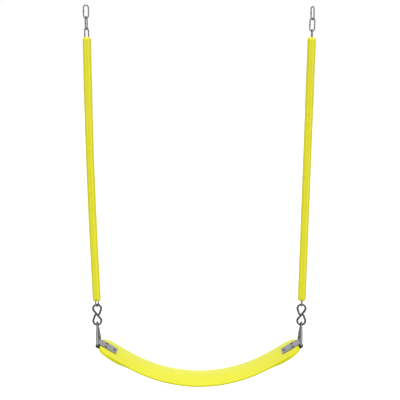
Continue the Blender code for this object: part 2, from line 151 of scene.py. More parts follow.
# ---------------------------------------------------------------------------
# meshes
# ---------------------------------------------------------------------------
class Shape:
    """Points, faces, one UV pair for each face corner, and one number for
    each point that the materials read as 'mark'."""

    def __init__(self):
        self.points, self.faces, self.uvs, self.marks = [], [], [], []
        self.count = 0

    def add(self, points, faces, uvs, marks):
        self.points.append(points)
        self.faces += [tuple(i + self.count for i in face) for face in faces]
        self.uvs += uvs
        self.marks.append(marks)
        self.count += len(points)
        return self

    def make(self, name):
        points = np.concatenate(self.points) * MM
        mesh = bpy.data.meshes.new(name)
        mesh.from_pydata(points.tolist(), [], self.faces)
        layer = mesh.uv_layers.new(name="Lengthwise")
        layer.data.foreach_set("uv", np.array(self.uvs, np.float32).ravel())
        mark = mesh.attributes.new("mark", "FLOAT", "POINT")
        mark.data.foreach_set("value", np.concatenate(self.marks).astype(np.float32))
        bm = bmesh.new()
        bm.from_mesh(mesh)
        bmesh.ops.recalc_face_normals(bm, faces=bm.faces)
        bm.to_mesh(mesh)
        bm.free()
        mesh.shade_smooth()
        obj = bpy.data.objects.new(name, mesh)
        bpy.context.scene.collection.objects.link(obj)
        return obj


def ring_faces(rings, sides, closed, lengths, girth):
    """Quads between rings of points, capped if open. UVs run along the rings'
    lengths and round their girth, one unit to 100 mm."""
    faces, uvs = [], []
    for i in range(rings if closed else rings - 1):
        j = (i + 1) % rings
        u0, u1 = lengths[i] / 100.0, lengths[i + 1] / 100.0
        for k in range(sides):
            after = (k + 1) % sides
            faces.append((i * sides + k, i * sides + after, j * sides + after, j * sides + k))
            v0, v1 = k / sides * girth / 100.0, (k + 1) / sides * girth / 100.0
            uvs += [(u0, v0), (u0, v1), (u1, v1), (u1, v0)]
    if not closed:
        for i in (0, rings - 1):
            faces.append(tuple(i * sides + k for k in range(sides)))
            uvs += [(lengths[i] / 100.0, k / sides * girth / 100.0) for k in range(sides)]
    return faces, uvs


def tube(path, normal, in_plane, across, sides, marks, end=None):
    """A bar swept along a flat path; normal is the plane's, in_plane and
    across are its radii. With end, the length of its rounded-over ends, the
    bar is open; without, it closes on itself."""
    closed = end is None
    normal = unit(normal)
    if closed:
        along = np.roll(path, -1, 0) - np.roll(path, 1, 0)
    else:
        along = np.gradient(path, axis=0)
    along /= np.linalg.norm(along, axis=1)[:, None]
    if not closed:
        turns = np.radians((84, 66, 48, 30, 14))
        reach = end * np.sin(turns)[:, None]
        keep = 0.62 + 0.38 * np.cos(turns)
        path = np.vstack((path[0] - along[0] * reach, path, (path[-1] + along[-1] * reach)[::-1]))
        in_plane, across = (
            np.concatenate((size[0] * keep, size, size[-1] * keep[::-1]))
            for size in (in_plane, across)
        )
        along = np.pad(along, ((len(turns), len(turns)), (0, 0)), "edge")
        marks = np.pad(marks, len(turns), "edge")
    out = np.cross(along, normal)
    turn = 2 * np.pi * np.arange(sides) / sides
    points = (
        path[:, None, :]
        + out[:, None, :] * (in_plane[:, None] * np.cos(turn))[:, :, None]
        + normal * (across[:, None] * np.sin(turn))[:, :, None]
    )
    steps = np.linalg.norm(np.diff(np.vstack((path, path[:1])), axis=0), axis=1)
    lengths = np.concatenate(([0.0], np.cumsum(steps)))
    girth = 2 * math.pi * float(in_plane.mean())
    faces, uvs = ring_faces(len(path), sides, closed, lengths, girth)
    return points.reshape(-1, 3), faces, uvs, np.repeat(marks, sides)


def arc(centre, radius, start, stop, steps):
    turn = np.radians(np.linspace(start, stop, steps + 1))
    return np.stack((centre[0] + radius * np.cos(turn), centre[1] + radius * np.sin(turn)), 1)


# ---------------------------------------------------------------------------
# materials
# ---------------------------------------------------------------------------
class Material:
    def __init__(self, name, colour, rough, metal):
        self.made = bpy.data.materials.new(name)
        self.made.use_nodes = True
        self.tree = self.made.node_tree
        self.shader = self.tree.nodes["Principled BSDF"]
        self.set("Metallic", metal)
        self.set("Roughness", rough)
        self.set("Base Color", (*colour, 1.0))
        self.made.diffuse_color = (*colour, 1.0)
        self.normal = None

    def set(self, name, value):
        self.shader.inputs[name].default_value = value

    def feed(self, name, out):
        self.link(out, self.shader.inputs[name])

    def add(self, kind, **settings):
        node = self.tree.nodes.new(kind)
        for key, value in settings.items():
            setattr(node, key, value)
        return node

    def link(self, out, into):
        self.tree.links.new(out, into)

    def coords(self, scale=(1, 1, 1), output="Object"):
        source = self.add("ShaderNodeTexCoord")
        mapping = self.add("ShaderNodeMapping")
        mapping.inputs["Scale"].default_value = scale
        self.link(source.outputs[output], mapping.inputs["Vector"])
        return mapping.outputs["Vector"]

    def noise(self, vector, scale, detail=2.0, rough=0.5, distort=0.0):
        node = self.add("ShaderNodeTexNoise")
        node.inputs["Scale"].default_value = scale
        node.inputs["Detail"].default_value = detail
        node.inputs["Roughness"].default_value = rough
        node.inputs["Distortion"].default_value = distort
        self.link(vector, node.inputs["Vector"])
        return node.outputs["Fac"]

    def cells(self, vector, scale, smooth=None):
        """Voronoi cells, with soft borders where smooth is given."""
        node = self.add("ShaderNodeTexVoronoi")
        node.inputs["Scale"].default_value = scale
        if smooth is not None:
            node.feature = "SMOOTH_F1"
            node.inputs["Smoothness"].default_value = smooth
        self.link(vector, node.inputs["Vector"])
        return node

    def span(self, value, over, to=(0.0, 1.0)):
        """Maps the range 'over' to the range 'to'."""
        node = self.add("ShaderNodeMapRange")
        for key, number in zip(("From Min", "From Max", "To Min", "To Max"), (*over, *to)):
            node.inputs[key].default_value = number
        self.link(value, node.inputs["Value"])
        return node.outputs["Result"]

    def calc(self, operation, one, two):
        node = self.add("ShaderNodeMath", operation=operation)
        for socket, value in zip(node.inputs, (one, two)):
            if isinstance(value, (int, float)):
                socket.default_value = value
            else:
                self.link(value, socket)
        return node.outputs[0]

    def mix(self, factor, one, two, blend="MIX"):
        node = self.add("ShaderNodeMix", data_type="RGBA", blend_type=blend)
        for socket, value in zip((node.inputs[i] for i in (0, 6, 7)), (factor, one, two)):
            if isinstance(value, (int, float)):
                socket.default_value = value
            elif isinstance(value, tuple):
                socket.default_value = (*value, 1.0)
            else:
                self.link(value, socket)
        return node.outputs[2]

    def tone(self, base, colour, by, over, share=1.0):
        """The base turning to a colour, up to a share, as 'by' crosses 'over'."""
        return self.mix(self.span(by, over, to=(0.0, share)), base, colour)

    def marked(self, share):
        """The mesh's mark, times a share."""
        node = self.add("ShaderNodeAttribute", attribute_name="mark")
        return self.calc("MULTIPLY", node.outputs["Fac"], share)

    def bump(self, height, strength, depth):
        """A bump, its depth in mm, laid on those before it."""
        node = self.add("ShaderNodeBump")
        node.inputs["Strength"].default_value = strength
        node.inputs["Distance"].default_value = depth * MM
        self.link(height, node.inputs["Height"])
        if self.normal is not None:
            self.link(self.normal, node.inputs["Normal"])
        self.normal = node.outputs["Normal"]
        self.feed("Normal", self.normal)

    def edges(self, colour, share, tint):
        """Painted shade: darker where the surface turns away, standing in for dark surroundings
        seen in grazing reflections.
        """
        layer = self.add("ShaderNodeLayerWeight")
        layer.inputs["Blend"].default_value = 0.5
        turn = self.calc("POWER", layer.outputs["Facing"], 1.6)
        self.set("Specular Tint", (tint, tint, tint, 1.0))
        return self.mix(self.calc("MULTIPLY", turn, share), colour, (0.0, 0.0, 0.0))


def darker(colour, share):
    return tuple(part * share for part in colour)


def belt_material():
    """Moulded rubber-like sheet: fine pebbled skin, faint flow clouds."""
    mat = Material("moulded_yellow_belt", colour=(0.76, 0.755, 0.018), rough=0.42, metal=0.0)
    place = mat.coords()
    clouds = mat.noise(place, scale=16, detail=4, rough=0.55, distort=0.6)
    flow = mat.noise(mat.coords((1.0, 6.0, 1.0)), scale=9, detail=3, rough=0.6, distort=0.3)
    speck = mat.noise(place, scale=1500, rough=0.6)
    base = mat.tone((0.745, 0.742, 0.014), (0.778, 0.770, 0.022), by=clouds, over=(0.35, 0.65))
    base = mat.tone(base, (0.770, 0.752, 0.012), by=flow, over=(0.4, 0.7), share=0.35)
    base = mat.tone(base, (0.66, 0.635, 0.012), by=speck, over=(0.62, 0.8), share=0.22)
    # painted shade: duller towards the bracket and the edges
    base = mat.mix(mat.marked(0.16), base, (0.63, 0.60, 0.020))
    # painted light: the top is a little paler towards the rear edge, where the rear rim catches
    # the light
    depth = mat.add("ShaderNodeSeparateXYZ")
    mat.link(place, depth.inputs[0])
    pale = mat.calc("POWER", mat.span(depth.outputs["Y"], over=(-0.045, 0.075)), 2.2)
    base = mat.mix(mat.calc("MULTIPLY", pale, 0.75), base, (0.745, 0.750, 0.150))
    mat.feed("Base Color", base)
    rough = mat.span(clouds, over=(0.3, 0.7), to=(0.37, 0.47))
    rough = mat.calc("ADD", rough, mat.span(speck, over=(0.3, 0.8), to=(-0.03, 0.05)))
    mat.feed("Roughness", rough)
    pebble = mat.cells(place, scale=900, smooth=0.7).outputs["Distance"]
    mat.bump(flow, strength=0.10, depth=0.35)
    mat.bump(pebble, strength=0.22, depth=0.09)
    mat.bump(speck, strength=0.18, depth=0.03)
    mat.set("Specular IOR Level", 0.22)
    mat.set("Sheen Weight", 0.04)
    return mat.made


def sleeve_material():
    """Soft extruded vinyl: long faint draw lines and a half-gloss skin."""
    mat = Material("soft_yellow_vinyl", colour=(0.93, 0.88, 0.008), rough=0.30, metal=0.0)
    place = mat.coords()
    drawn = mat.noise(mat.coords((1.0, 1.0, 0.012)), scale=900, rough=0.6)
    wide = mat.noise(mat.coords((1.0, 1.0, 0.03)), scale=90, rough=0.4, distort=0.1)
    clouds = mat.noise(place, scale=22, detail=3, rough=0.55)
    grain = mat.noise(place, scale=2200, rough=0.6)
    base = mat.tone((0.915, 0.868, 0.006), (0.945, 0.895, 0.012), by=clouds, over=(0.35, 0.65))
    base = mat.tone(base, (0.960, 0.915, 0.016), by=wide, over=(0.45, 0.75), share=0.5)
    base = mat.tone(base, (0.84, 0.79, 0.006), by=drawn, over=(0.55, 0.85), share=0.22)
    # cut ends are a little paler and matt
    base = mat.mix(mat.marked(0.25), base, (0.94, 0.89, 0.03))
    mat.feed("Base Color", base)
    rough = mat.span(clouds, over=(0.3, 0.7), to=(0.24, 0.34))
    mat.feed("Roughness", mat.calc("ADD", rough, mat.marked(0.22)))
    mat.bump(wide, strength=0.05, depth=0.12)
    mat.bump(drawn, strength=0.05, depth=0.03)
    mat.bump(grain, strength=0.05, depth=0.012)
    mat.set("Specular IOR Level", 0.5)
    mat.set("Coat Weight", 0.75)
    mat.set("Coat Roughness", 0.12)
    return mat.made


def plated_wire(name, light, dark, rough, mark_and_shade_colour, streak, burn_and_shade=0.55, rim=0.3):
    """Zinc-plated round bar: drawn lines along it, dull and bright patches, and another colour
    where it is marked, which on the triangle's bottom bar is painted shade inside the bracket's
    fold. streak, burn_and_shade and rim are the shares of the lines, the marks and the darker
    rim, a painted shade where the surface turns away."""
    mat = Material(name, colour=light, rough=rough, metal=1.0)
    place = mat.coords()
    lines = mat.noise(mat.coords((2.0, 160.0, 1.0), "UV"), scale=6.0, detail=3, rough=0.6)
    patch = mat.noise(place, scale=210, detail=4, rough=0.6, distort=0.8)
    frost = mat.cells(place, scale=620).outputs["Color"]
    pits = mat.noise(place, scale=1700, detail=3, rough=0.65)
    base = mat.tone(dark, light, by=patch, over=(0.36, 0.66))
    lined = mat.calc("MULTIPLY", mat.span(lines, over=(0.4, 0.7)), streak)
    base = mat.mix(lined, base, darker(light, 0.72))
    base = mat.mix(0.10, base, frost, blend="OVERLAY")
    base = mat.tone(base, darker(dark, 0.45), by=pits, over=(0.62, 0.78), share=0.45)
    base = mat.mix(mat.marked(burn_and_shade), base, mark_and_shade_colour)
    # painted shade where the bar turns away from view
    base = mat.edges(base, share=rim, tint=1.0 - rim)
    mat.feed("Base Color", base)
    spread = mat.span(patch, over=(0.3, 0.7), to=(rough + 0.07, rough - 0.06))
    spread = mat.calc("ADD", spread, mat.span(pits, over=(0.45, 0.8), to=(0.0, 0.14)))
    mat.feed("Roughness", mat.calc("ADD", spread, mat.marked(0.18)))
    mat.bump(lines, strength=0.12, depth=0.04)
    mat.bump(patch, strength=0.16, depth=0.08)
    mat.bump(pits, strength=0.22, depth=0.035)
    return mat.made


def strap_material():
    """Zinc-plated sheet, faintly violet, with a brushed grain along the strap."""
    mat = Material("plated_strap", colour=(0.56, 0.55, 0.60), rough=0.36, metal=1.0)
    place = mat.coords()
    brushed = mat.noise(mat.coords((3.0, 260.0, 1.0), "UV"), scale=5.0, detail=3, rough=0.6)
    patch = mat.noise(place, scale=70, detail=4, rough=0.6, distort=0.9)
    pits = mat.noise(place, scale=1500, detail=3, rough=0.65)
    base = mat.tone((0.70, 0.69, 0.735), (0.86, 0.84, 0.90), by=patch, over=(0.36, 0.66))
    base = mat.tone(base, (0.56, 0.56, 0.59), by=brushed, over=(0.45, 0.75), share=0.4)
    base = mat.tone(base, (0.25, 0.25, 0.27), by=pits, over=(0.62, 0.78), share=0.4)
    # painted shade: the strap's edges and tips, and the fold where it turns under the bar, are
    # darker than the rolled faces
    base = mat.mix(mat.marked(0.94), base, (0.050, 0.046, 0.046))
    # painted shade where the sheet turns away from view
    base = mat.edges(base, share=0.12, tint=0.95)
    mat.feed("Base Color", base)
    spread = mat.span(patch, over=(0.3, 0.7), to=(0.42, 0.31))
    mat.feed("Roughness", mat.calc("ADD", spread, mat.marked(0.15)))
    mat.bump(brushed, strength=0.14, depth=0.04)
    mat.bump(patch, strength=0.12, depth=0.10)
    mat.bump(pits, strength=0.18, depth=0.03)
    return mat.made


def rivet_material():
    """Formed steel heads: turned marks round the crown, and a painted shadow, near black, at the
    rim where head and tail meet the leaves.
    """
    mat = Material("rivet_steel", colour=(0.15, 0.15, 0.165), rough=0.34, metal=1.0)
    place = mat.coords()
    patch = mat.noise(place, scale=320, detail=3, rough=0.6, distort=0.6)
    rings = mat.noise(mat.coords((90.0, 1.0, 1.0), "UV"), scale=4.0)
    pits = mat.noise(place, scale=1600, detail=3, rough=0.65)
    base = mat.tone((0.10, 0.10, 0.115), (0.19, 0.19, 0.21), by=patch, over=(0.36, 0.66))
    # painted shadow at the rim
    base = mat.mix(mat.marked(0.9), base, (0.02, 0.02, 0.022))
    base = mat.tone(base, (0.06, 0.06, 0.065), by=pits, over=(0.62, 0.78), share=0.4)
    mat.feed("Base Color", base)
    spread = mat.span(patch, over=(0.3, 0.7), to=(0.40, 0.28))
    mat.feed("Roughness", mat.calc("ADD", spread, mat.marked(0.2)))
    mat.bump(rings, strength=0.12, depth=0.05)
    mat.bump(pits, strength=0.20, depth=0.03)
    return mat.made


FINISH = {
    "belt": belt_material(),
    "sleeve": sleeve_material(),
    "chain": plated_wire(
        "plated_chain",
        light=(0.62, 0.63, 0.63),
        dark=(0.40, 0.41, 0.41),
        rough=0.30,
        mark_and_shade_colour=(0.17, 0.165, 0.16),
        streak=0.35,
    ),
    "hook": plated_wire(
        "plated_hook",
        light=(0.36, 0.36, 0.375),
        dark=(0.17, 0.17, 0.18),
        rough=0.33,
        mark_and_shade_colour=(0.12, 0.12, 0.12),
        streak=0.30,
        rim=0.85,
    ),
    "triangle": plated_wire(
        "plated_triangle",
        light=(0.64, 0.64, 0.66),
        dark=(0.46, 0.46, 0.48),
        rough=0.34,
        # painted shade: near black for the bottom bar inside the bracket's fold
        mark_and_shade_colour=(0.02, 0.02, 0.02),
        streak=0.40,
        burn_and_shade=0.95,
        rim=0.75,
    ),
    "bracket": strap_material(),
    "rivet": rivet_material(),
}


def finish(shape, name, slot, body, node):
    """Make the shape's object, riding a body and replacing a frame node."""
    obj = shape.make(name)
    obj.data.materials.append(FINISH[slot])
    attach(obj, body)
    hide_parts(node)


# ---------------------------------------------------------------------------
# chain: links are numbered from 1 at the top
# ---------------------------------------------------------------------------
WIRE_R = 2.0
LINK_WIDTH = 18.5
BEARING = 4.6  # between the wire axes of two free links at rest
TOUCHING = 4.1  # the same between the links inside a sleeve
CHAIN_END_LIFT = 2.7  # of the chain's last bearing above the hook's joint
LAST = 27
YAW = {
    "left": {1: 0.0, 2: -61.5, 3: 47.5, LAST: 60.6},
    "right": {1: -60.0, 2: 12.0, 3: 90.0, LAST: 90.0},
}
# number: (node, body it rides), both with the side filled in
FREE_LINKS = {
    1: ("top_link_{}", "hangers"),
    2: ("second_link_{}", "upper_link_{}"),
    3: ("third_link_{}", "chain_{}"),
    LAST: ("last_link_{}", "chain_{}"),
}
FREE_DETAIL = {"sides": 24, "bend": 26, "straight": 14, "weld": True}
HIDDEN_DETAIL = {"sides": 14, "bend": 12, "straight": 5, "weld": False}

# the weld's bead and the groove at each side of it, as shares of the wire's
# radius; widths and places are along the link
BEAD, BEAD_WIDTH = 0.13, 1.45
GROOVE, GROOVE_AT, GROOVE_WIDTH = 0.045, 2.35, 0.45
WELD_MARK_WIDTH = 3.2

SLEEVE_R = 12.25
SLEEVE_BORE_R = 10.3
SLEEVE_MARGIN = 0.27  # of the sleeve's box past each of its ends
SLEEVE_HANG = {"left": 2.0, "right": 0.0}  # how far the lower end has crept down
BOW = {"left": 4.0, "right": 0.0}  # how far the sleeve's middle stands outward
SLEEVE_BOX = {side: node_box("sleeve_" + side) for side in SIDES}
SLEEVE_TOP = {side: round(box[1][2] - SLEEVE_MARGIN, 1) for side, box in SLEEVE_BOX.items()}
SLEEVE_LOW = {side: round(box[0][2] + SLEEVE_MARGIN, 1) for side, box in SLEEVE_BOX.items()}


def chain_ends(side):
    """Wire-axis points where the chain starts and ends, from its joints."""
    swing, low = JOINT["swing_" + side], JOINT["hook_turn_" + side]
    along = (swing - low) / (swing[2] - low[2])
    if side == "left":
        top = swing + np.array((0, 0, BEARING / 2))
    else:
        top = swing - along * BEARING / 2
    return top, low + along * CHAIN_END_LIFT


CHAIN = {side: chain_ends(side) for side in SIDES}


def on_chain(side, height):
    """Points of the chain's line at these heights, bowed inside the sleeve."""
    height = np.asarray(height, float)
    top, low = CHAIN[side]
    x = top[0] + (low[0] - top[0]) * (top[2] - height) / (top[2] - low[2])
    along = (SLEEVE_TOP[side] - height) / (SLEEVE_TOP[side] - SLEEVE_LOW[side])
    bow = np.where((along > 0) & (along < 1), np.sin(np.pi * along), 0.0) * BOW[side]
    x = x + SIDES[side] * bow
    return np.stack((x, np.zeros_like(x), height), -1)


def bearing_height(side, number):
    top, low = CHAIN[side]
    return top[2] + (low[2] - top[2]) * (number - 1) / (LAST - 1)


def half_bearing(number):
    """Half the distance between the wires of this link and the next."""
    return (TOUCHING if 3 < number < LAST - 1 else BEARING) / 2


def link_crowns(side, number):
    """Wire-axis points at the top and bottom of a link."""
    if number == 1:
        low = CHAIN[side][0] - np.array((0, 0, BEARING / 2))
        box_top = node_box("top_link_" + side)[1][2]
        high = np.array((low[0], low[1], box_top - WIRE_R * math.cos(math.radians(18))))
        return high, low
    high = bearing_height(side, number - 1) + half_bearing(number - 1)
    if number == LAST:
        low = JOINT["hook_turn_" + side][2]
    else:
        low = bearing_height(side, number) - half_bearing(number)
    return on_chain(side, high), on_chain(side, low)


def link(high, low, yaw, sides, bend, straight, weld):
    """One oval link between two wire-axis points. bend and straight count the
    stations round each bend and along each leg."""
    up = unit(high - low)
    yaw = math.radians(yaw)
    across = np.array((math.cos(yaw), math.sin(yaw), 0.0))
    across = unit(across - up * across.dot(up))
    radius = LINK_WIDTH / 2 - WIRE_R
    middle = np.linalg.norm(high - low) / 2 - radius
    plain_leg = weld_leg = np.linspace(-middle, middle, straight + 2)[1:-1]
    if weld:
        # closer stations at the weld
        far = plain_leg[np.abs(plain_leg) > 3.6]
        weld_leg = np.sort(np.concatenate((far, np.linspace(-3.4, 3.4, 18))))
    path = np.concatenate(
        (
            np.stack((np.full(len(plain_leg), radius), plain_leg), 1),
            arc((0.0, middle), radius, 0, 180, bend),
            np.stack((np.full(len(weld_leg), -radius), weld_leg[::-1]), 1),
            arc((0.0, -middle), radius, 180, 360, bend),
        )
    )
    rise = path[:, 1]
    size = np.ones(len(path))
    marks = np.zeros(len(path))
    if weld:
        here = (path[:, 0] < 0) & (np.abs(rise) < middle)
        bead = BEAD * np.exp(-((rise / BEAD_WIDTH) ** 2))
        bead -= GROOVE * np.exp(-(((np.abs(rise) - GROOVE_AT) / GROOVE_WIDTH) ** 2))
        size = size + np.where(here, bead, 0.0)
        marks = np.where(here, np.exp(-((rise / WELD_MARK_WIDTH) ** 2)), 0.0)
    # a bent wire draws thinner round its bend, and the bearing faces are worn
    worn = ease(np.abs(rise), middle - 1.5, middle + 0.55 * radius)
    return tube(
        (high + low) / 2 + path[:, :1] * across + path[:, 1:] * up,
        normal=np.cross(across, up),
        in_plane=WIRE_R * size * (1 - 0.075 * worn),
        across=WIRE_R * size * (1 - 0.06 * worn),
        sides=sides,
        marks=marks,
    )


def free_links(side):
    for number, names in FREE_LINKS.items():
        node, body = (name.format(side) for name in names)
        high, low = link_crowns(side, number)
        shape = Shape().add(*link(high, low, YAW[side][number], **FREE_DETAIL))
        finish(shape, node + "_wire", "chain", body, node)


def hidden_links(side):
    """The run inside the sleeve: a quarter turn from link to link, and a
    drift that meets the last link's yaw."""
    shape = Shape()
    first, last = YAW[side][3], YAW[side][LAST]
    drift = (last - first + 90.0) % 180.0 - 90.0
    for number in range(4, LAST):
        yaw = first + (number - 3) * 90.0 + drift * (number - 3) / (LAST - 3)
        high, low = link_crowns(side, number)
        shape.add(*link(high, low, yaw, **HIDDEN_DETAIL))
    finish(shape, "chain_run_" + side, "chain", "chain_" + side, "chain_in_sleeve_" + side)


RIM_LENGTH = 9.0  # the sleeve's ends close in over this length
RIM_CLOSE = 5.9  # and by this much
LIP_R = 1.1
# the bore beside each end: (distance from the end, radius added to the bore's)
BORE_RIM = [(11.0, 0.0), (8.6, -0.7), (6.3, -2.2), (3.8, -4.0)]


def sleeve_profile(top, low):
    """(height, radius) down the outside and up the bore, and the number of
    points outside."""
    rim = [
        (RIM_LENGTH * (1 - math.cos(t)), RIM_CLOSE * (math.sin(t) - 1))
        for t in np.radians(np.linspace(0, 90, 15))
    ]
    lip = SLEEVE_R - RIM_CLOSE - SLEEVE_BORE_R
    bore_rim = BORE_RIM + [
        (LIP_R * (1 - math.cos(t)), lip - LIP_R * math.sin(t))
        for t in np.radians(np.linspace(90, 15, 6))
    ]
    outer = [(top - depth, SLEEVE_R + extra) for depth, extra in rim]
    outer += [(height, SLEEVE_R) for height in np.linspace(top - 10, low + 10, 240)]
    outer += [(low + depth, SLEEVE_R + extra) for depth, extra in reversed(rim)]
    inner = [(low + depth, SLEEVE_BORE_R + extra) for depth, extra in reversed(bore_rim)]
    inner += [(height, SLEEVE_BORE_R) for height in np.linspace(low + 13, top - 13, 60)]
    inner += [(top - depth, SLEEVE_BORE_R + extra) for depth, extra in bore_rim]
    return np.array(outer + inner), len(outer)


def sleeve(side):
    """Soft tube: rolled-over rims, and walls that stray a little from round."""
    sides = 72
    top, low = SLEEVE_TOP[side], SLEEVE_LOW[side] - SLEEVE_HANG[side]
    profile, outer_count = sleeve_profile(top, low)
    heights, radii = profile.T
    centres = on_chain(side, heights)
    step = on_chain(side, heights + 1.0) - on_chain(side, heights - 1.0)
    up = step / np.linalg.norm(step, axis=1)[:, None]
    across = np.stack((up[:, 2], np.zeros(len(up)), -up[:, 0]), 1)
    back = np.cross(up, across)
    turn = 2 * np.pi * np.arange(sides) / sides
    phase = 1.7 if side == "left" else 4.3
    height = heights[:, None]
    stray = 0.080 * np.sin(height / 61.0 + phase) * np.cos(2 * turn + height / 190.0 + phase)
    stray = stray + 0.030 * np.sin(height / 33.0 + 2 * phase + turn)
    outside = (np.arange(len(radii)) < outer_count)[:, None]
    inward = np.minimum(ease(top - heights, 0.0, 8.0), ease(heights - low, 0.0, 8.0))[:, None]
    radius = radii[:, None] + np.where(outside, stray, 0.4 * stray) * (0.25 + 0.75 * inward)
    # the soft rims dip and lift slightly
    near_top = 1 - ease(top - height, 0.0, 30.0)
    near_low = 1 - ease(height - low, 0.0, 30.0)
    lift = 0.75 * near_top * np.cos(turn + 0.5 * phase) - 0.55 * near_low * np.cos(turn - phase)
    points = (
        centres[:, None, :]
        + across[:, None, :] * (radius * np.cos(turn))[:, :, None]
        + back[:, None, :] * (radius * np.sin(turn))[:, :, None]
        + up[:, None, :] * lift[:, :, None]
    )
    lengths = np.cumsum(np.abs(np.diff(heights, prepend=heights[0])))
    lengths = np.append(lengths, lengths[-1] + 1.0)
    faces, uvs = ring_faces(len(profile), sides, True, lengths, girth=77.0)
    ends = np.maximum(1 - ease(top - heights, 0.4, 2.2), 1 - ease(heights - low, 0.4, 2.2))
    shape = Shape().add(points.reshape(-1, 3), faces, uvs, np.repeat(ends, sides))
    finish(shape, "sleeve_tube_" + side, "sleeve", "chain_" + side, "sleeve_" + side)


# ---------------------------------------------------------------------------
# S-hook and triangle
# ---------------------------------------------------------------------------
HOOK_WIRE_R = 3.35
HOOK_LOOP_R = 12.2
HOOK_REACH = 31.5  # from the hook's centre to the far side of an eye's axis
HOOK_TIP = np.array((6.2, 1.65))  # where the bar's rounded end begins
HOOK_TIP_WAY = np.array((0.53, 0.848))
HOOK_EYE_START = 26  # degrees below level, where the tip's lead meets the eye
HOOK_LEAD = 4.2  # handles of the lead's curve


def bezier(a, b, c, d, steps):
    t = np.linspace(0, 1, steps + 1)[:, None]
    return a * (1 - t) ** 3 + 3 * b * t * (1 - t) ** 2 + 3 * c * t * t * (1 - t) + d * t**3


def s_hook(side):
    """Round bar bent into two closed eyes, its ends rounded over."""
    node = "s_hook_" + side
    low, high = node_box(node)
    centre = (low + high) / 2
    centre[1] = 0.0
    up = unit(centre - HOOK_LOW[side])
    across = np.array((up[2], 0, -up[0]))
    eye = HOOK_REACH - HOOK_LOOP_R
    lean = math.degrees(math.asin(HOOK_LOOP_R / eye))
    round_eye = arc((0.0, eye), HOOK_LOOP_R, -HOOK_EYE_START, 180 + lean, 64)
    first = round_eye[0]
    start = math.radians(HOOK_EYE_START)
    way = np.array((math.sin(start), math.cos(start)))
    handles = (HOOK_TIP + HOOK_LEAD * HOOK_TIP_WAY, first - HOOK_LEAD * way)
    lead = bezier(HOOK_TIP, *handles, first, 14)[:-1]
    upper = np.vstack((lead, round_eye))
    # the bar that crosses the middle, from one eye to the other
    cross = upper[-1] * (1 - 2 * np.linspace(0, 1, 14)[1:-1, None])
    path = np.vstack((upper, cross, -upper[::-1]))
    # the bar is thinner where the eyes bear
    far = ease(np.abs(path[:, 1]), 19, 28)
    marks = np.zeros(len(path))
    marks[:4] = marks[-4:] = 0.5
    bar = tube(
        centre + across * (path[:, :1] * -SIDES[side]) + up * path[:, 1:],
        normal=(0, 1, 0),
        in_plane=HOOK_WIRE_R * (1 - 0.105 * far),
        across=HOOK_WIRE_R * (1 - 0.075 * far),
        sides=28,
        marks=marks,
        end=2.1,
    )
    finish(Shape().add(*bar), node + "_bar", "hook", "hook_" + side, node)


TRI_BAR_R = 3.5
TRI_LEG_THICK, TRI_LEG_WIDE = 3.1, 3.9  # half sizes, in the triangle's plane and across it
TRI_NECK_R = 2.9
TRI_CORNER_R = 5.0
TRI_HALF = 36.0
APEX_R = 7.9


def triangle(side):
    """Closed bar, round in the bracket's fold, oval in its legs, necked where it hangs in the
    hook, a little darker at the neck, and near black along the bottom as painted shade inside the
    bracket's fold."""
    bar, apex = BAR[side], HOOK_LOW[side]
    up = unit(apex - bar)
    height = np.linalg.norm(apex - bar)
    corner = np.array((TRI_HALF - TRI_CORNER_R, TRI_CORNER_R))
    top = np.array((0.0, height))
    way = top - corner
    off = math.asin((TRI_CORNER_R - APEX_R) / np.linalg.norm(way))
    leg_turn = math.degrees(math.atan2(way[1], way[0]) - math.pi / 2 + off)
    right = arc(corner, TRI_CORNER_R, -90, leg_turn, 16)
    cap = arc(top, APEX_R, leg_turn, 180 - leg_turn, 34)
    leg = right[-1] + (cap[0] - right[-1]) * np.linspace(0, 1, 22)[1:-1, None]
    mirror = np.array((-1.0, 1.0))
    bottom = np.stack((np.linspace(-corner[0], corner[0], 20)[1:-1], np.zeros(18)), 1)
    path = np.vstack((right, leg, cap, leg[::-1] * mirror, right[::-1] * mirror, bottom))
    rise = path[:, 1]
    share = rise / height
    to_leg = ease(rise, 1.5, 8.0)
    to_neck = ease(share, 0.64, 0.86)

    def half_size(in_leg):
        below = TRI_BAR_R + (in_leg - TRI_BAR_R) * to_leg
        return below * (1 - to_neck) + TRI_NECK_R * to_neck

    wire = tube(
        bar + np.array((0, 1, 0)) * path[:, :1] + up * path[:, 1:],
        normal=np.cross(up, (0, 1, 0)),
        in_plane=half_size(TRI_LEG_THICK),
        across=half_size(TRI_LEG_WIDE),
        sides=28,
        # the bottom bar is painted near black as shade inside the fold; the neck is a little
        # darker
        marks=0.30 * ease(share, 0.97, 1.06) + 0.95 * (1 - ease(rise, 1.0, 6.5)),
    )
    node = "triangle_" + side
    finish(Shape().add(*wire), node + "_bar", "triangle", node, node)


